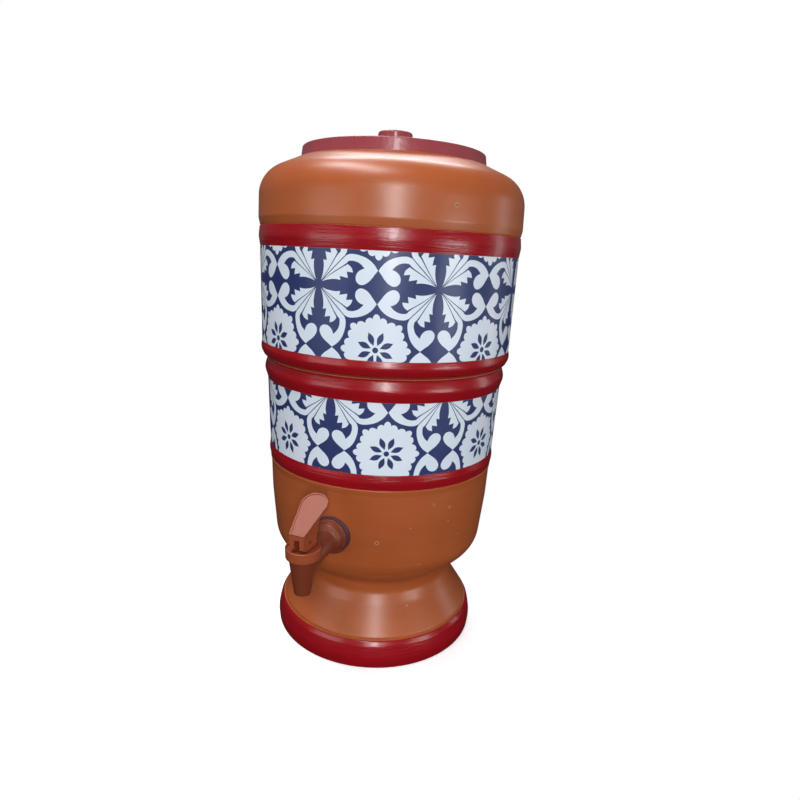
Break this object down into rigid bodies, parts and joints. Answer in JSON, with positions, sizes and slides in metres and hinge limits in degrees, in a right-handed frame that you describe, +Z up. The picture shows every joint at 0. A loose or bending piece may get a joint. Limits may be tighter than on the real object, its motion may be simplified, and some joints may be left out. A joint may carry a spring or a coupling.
{
  "type": "clay water pot with tap",
  "caption": "Two stacked clay chambers on a flared foot, painted rings and tile-pattern bands, plastic lid, filter candle inside and a lever tap near the bottom.",
  "frame": {"origin": "centre of the foot's base, on the surface it stands on", "axes": "+Z up along the pot's axis; the tap points along -Y, so +X is on the right of someone who faces the tap"},
  "size_m": [0.2409, 0.2921, 0.4792],
  "materials": {
    "painted_clay": "satin",
    "printed_film": "satin",
    "lid_plastic": "gloss",
    "tap_plastic": "gloss",
    "dark_rubber": "matte",
    "white_ceramic": "matte",
    "white_plastic": "satin",
    "float_foam": "matte",
    "spring_steel": "satin"
  },
  "bodies": {
    "base": {"lower_chamber": "painted_clay", "lower_band": "printed_film", "tap_body": "tap_plastic", "outer_washer": "dark_rubber", "inner_washer": "dark_rubber", "backnut": "tap_plastic", "bonnet": "tap_plastic", "bonnet_gasket": "dark_rubber", "valve_spring": "spring_steel"},
    "upper": {"upper_chamber": "painted_clay", "upper_band": "printed_film", "candle_shell": "white_ceramic", "candle_base": "white_plastic", "candle_gasket": "dark_rubber", "stem_washer": "white_plastic", "wing_nut": "white_plastic", "float_valve": "white_plastic"},
    "lid": {"lid": "lid_plastic"},
    "float": {"float": "float_foam"},
    "valve": {"seat_cup": "dark_rubber"},
    "stem": {"valve_stem": "tap_plastic"},
    "lever": {"lever": "tap_plastic", "lever_pin": "spring_steel"}
  },
  "joints": [
    {"name": "upper_lift", "type": "slide", "parent": "base", "child": "upper", "axis": [0, 0, 1], "range_m": [0, 0.15]},
    {"name": "lid_lift", "type": "slide", "parent": "upper", "child": "lid", "axis": [0, 0, 1], "range_m": [0, 0.06]},
    {"name": "float_rise", "type": "slide", "parent": "upper", "child": "float", "axis": [0, 0, 1], "range_m": [0, 0.0077]},
    {"name": "seat_lift", "type": "slide", "parent": "base", "child": "valve", "axis": [0, 0, 1], "range_m": [0, 0.0031], "deforming": ["valve_spring"]},
    {"name": "stem_swivel", "type": "hinge", "parent": "valve", "child": "stem", "pos_m": [0, -0.15729, 0.1511], "axis": [0, 0, 1], "continuous": true},
    {"name": "lever_tilt", "type": "hinge", "parent": "stem", "child": "lever", "pos_m": [0, -0.15729, 0.1511], "axis": [-1, 0, 0], "range_deg": [0, 25], "stiffness_Nm_per_rad": 0.2, "springref_deg": -20.05}
  ],
  "couplings": [
    {"joint": "seat_lift", "follows": "lever_tilt", "m_per_rad": 0.007}
  ]
}
